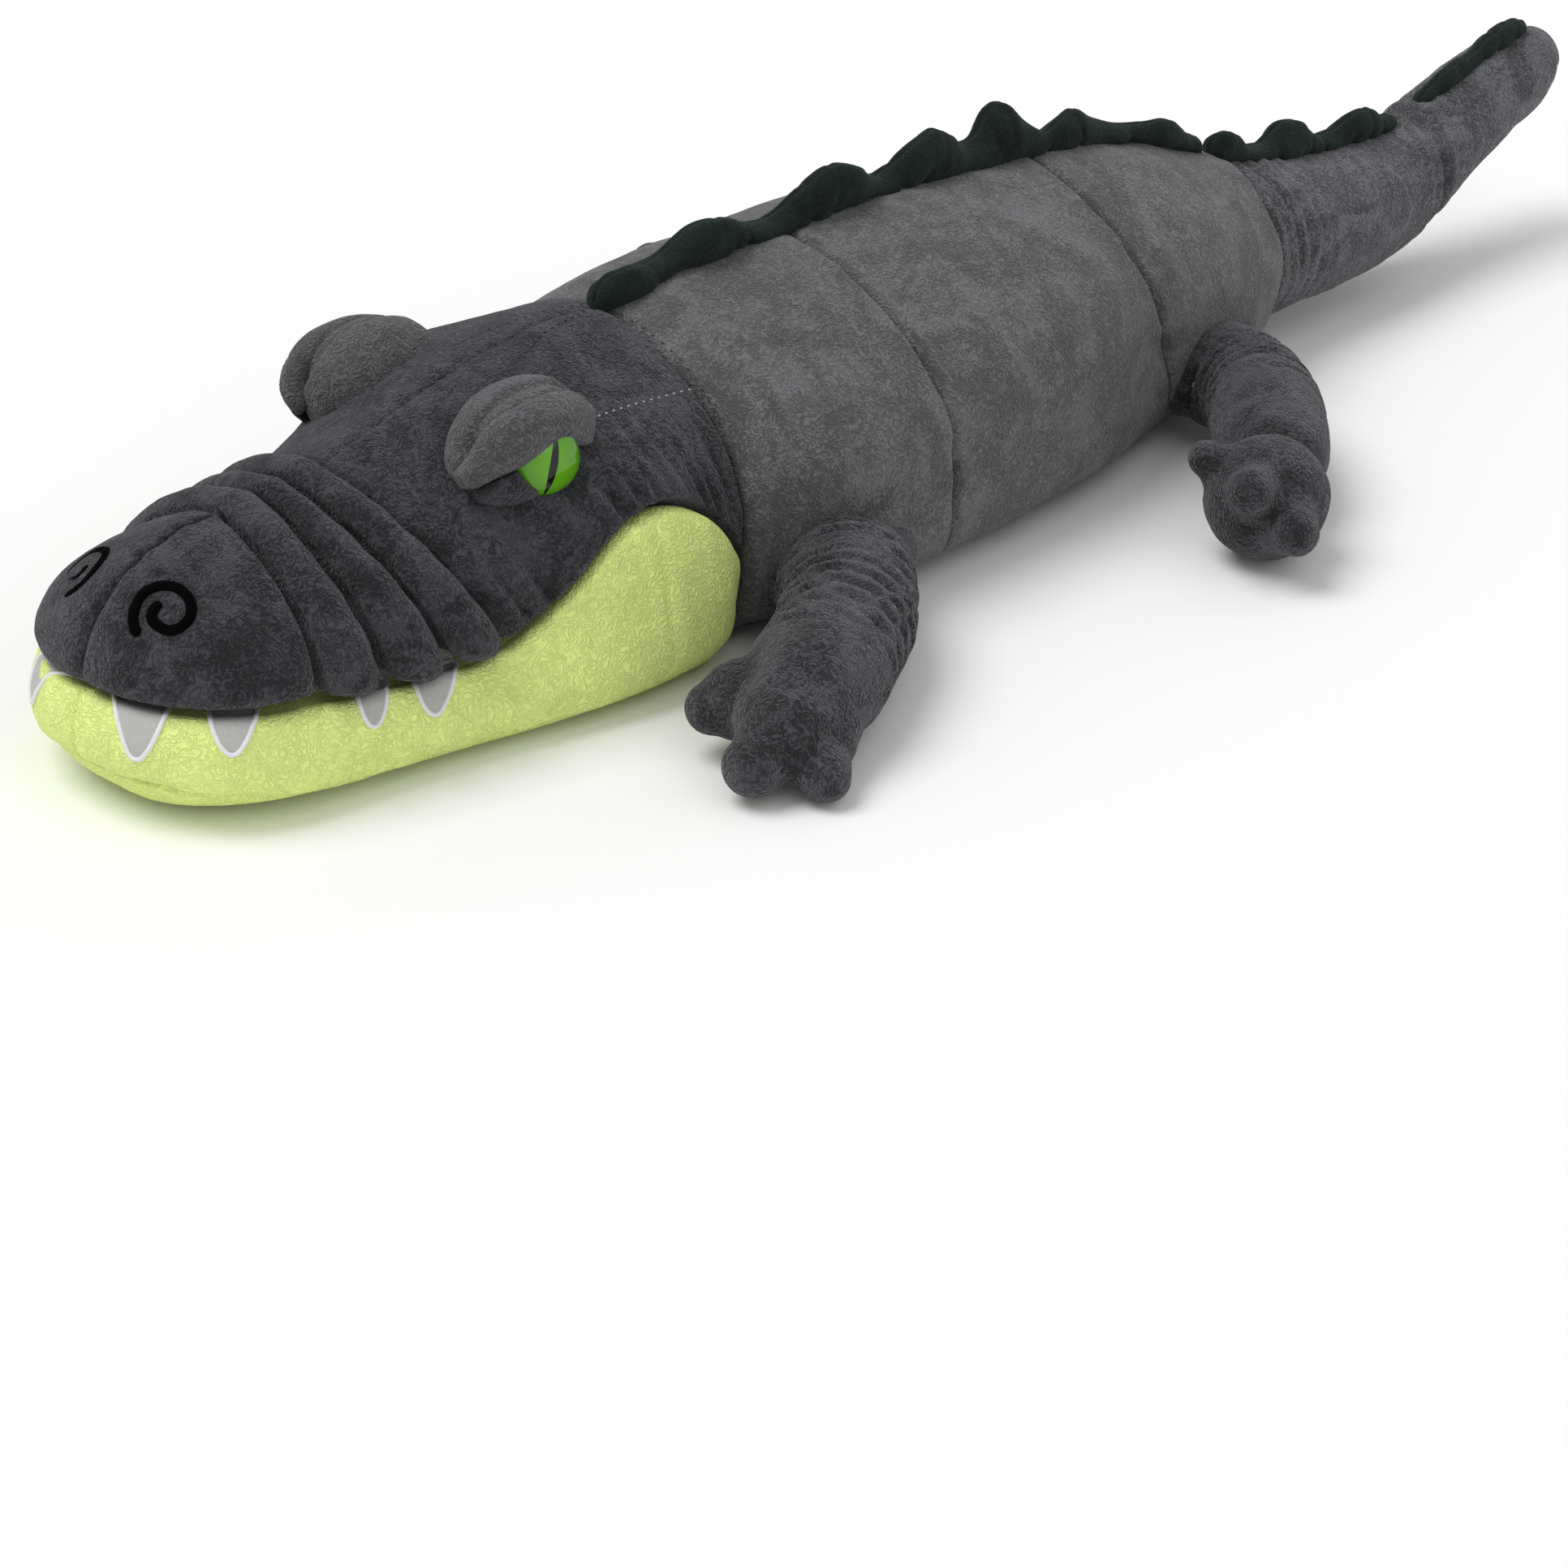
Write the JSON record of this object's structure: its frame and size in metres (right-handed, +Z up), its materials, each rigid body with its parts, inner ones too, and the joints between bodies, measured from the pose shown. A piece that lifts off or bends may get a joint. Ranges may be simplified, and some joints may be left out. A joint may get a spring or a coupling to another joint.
{
  "type": "plush crocodile",
  "caption": "Large stuffed plush crocodile lying on its belly, with a padded crest, stitched snout and legs and tail that flex at their seams.",
  "frame": {"origin": "on the floor under the middle of the belly, on the plane that the head and the body are symmetric about", "axes": "+Y along the body from the snout to the tail, +Z up, +X to the animal's own left"},
  "size_m": [0.5677, 1.289, 0.2235],
  "materials": {
    "charcoal": "matt short-pile plush",
    "grey": "matt short-pile plush",
    "leg_grey": "matt short-pile plush",
    "tail_grey": "matt short-pile plush",
    "lime": "matt short-pile plush",
    "crest_green": "matt padded fabric",
    "thread_black": "satin-stitched thread",
    "tooth_white": "matt felt",
    "eye_green": "polished",
    "washer_white": "moulded",
    "stuffing_white": "loose polyester fibre"
  },
  "bodies": {
    "torso": {"chest_section": "grey", "middle_section": "grey", "hip_section": "grey", "crown_left": "charcoal", "crown_right": "charcoal", "snout_roll_front": "charcoal", "snout_roll_middle": "charcoal", "snout_roll_rear": "charcoal", "nose_left": "charcoal", "nose_right": "charcoal", "jaw_left": "lime", "jaw_right": "lime", "chin_panel": "lime", "head_stuffing": "stuffing_white", "body_stuffing": "stuffing_white", "crest_back": "crest_green", "nostril_left": "thread_black", "nostril_right": "thread_black", "eye_mound_left": "charcoal", "eye_left": "eye_green", "eye_washer_left": "washer_white", "upper_lid_left": "charcoal", "lower_lid_left": "charcoal", "eye_mound_right": "charcoal", "eye_right": "eye_green", "eye_washer_right": "washer_white", "upper_lid_right": "charcoal", "lower_lid_right": "charcoal", "tooth_left_1": "tooth_white", "tooth_left_2": "tooth_white", "tooth_left_3": "tooth_white", "tooth_left_4": "tooth_white", "tooth_right_1": "tooth_white", "tooth_right_2": "tooth_white", "tooth_right_3": "tooth_white", "tooth_right_4": "tooth_white"},
    "tail": {"tail_root": "tail_grey", "tail_stuffing": "stuffing_white", "crest_tail": "crest_green"},
    "tail_tip": {"tail_tip": "tail_grey", "tail_tip_stuffing": "stuffing_white", "crest_tail_tip": "crest_green"},
    "front_leg_left": {"front_leg_left": "leg_grey", "front_leg_left_stuffing": "stuffing_white"},
    "front_leg_right": {"front_leg_right": "leg_grey", "front_leg_right_stuffing": "stuffing_white"},
    "rear_leg_left": {"rear_leg_left": "leg_grey", "rear_leg_left_stuffing": "stuffing_white"},
    "rear_leg_right": {"rear_leg_right": "leg_grey", "rear_leg_right_stuffing": "stuffing_white"}
  },
  "joints": [
    {"name": "tail_sway", "type": "hinge", "parent": "torso", "child": "tail", "pos_m": [0, 0.356, 0.0751], "axis": [0, 0, 1], "range_deg": [-20, 20], "stiffness_Nm_per_rad": 2},
    {"name": "tail_tip_sway", "type": "hinge", "parent": "tail", "child": "tail_tip", "pos_m": [0, 0.561, 0.0751], "axis": [0, 0, 1], "range_deg": [-18, 18], "stiffness_Nm_per_rad": 1.5},
    {"name": "front_leg_left_swing", "type": "hinge", "parent": "torso", "child": "front_leg_left", "pos_m": [0.10508, -0.12502, 0.03899], "axis": [0, 0, 1], "range_deg": [-6, 25], "stiffness_Nm_per_rad": 1.5},
    {"name": "front_leg_right_swing", "type": "hinge", "parent": "torso", "child": "front_leg_right", "pos_m": [-0.10508, -0.12502, 0.03899], "axis": [0, 0, 1], "range_deg": [-2, 40], "stiffness_Nm_per_rad": 1.5},
    {"name": "rear_leg_left_swing", "type": "hinge", "parent": "torso", "child": "rear_leg_left", "pos_m": [0.07199, 0.25407, 0.0386], "axis": [0, 0, 1], "range_deg": [-2, 25], "stiffness_Nm_per_rad": 1.5},
    {"name": "rear_leg_right_swing", "type": "hinge", "parent": "torso", "child": "rear_leg_right", "pos_m": [-0.07199, 0.25407, 0.0386], "axis": [0, 0, 1], "range_deg": [-25, 2], "stiffness_Nm_per_rad": 1.5}
  ]
}
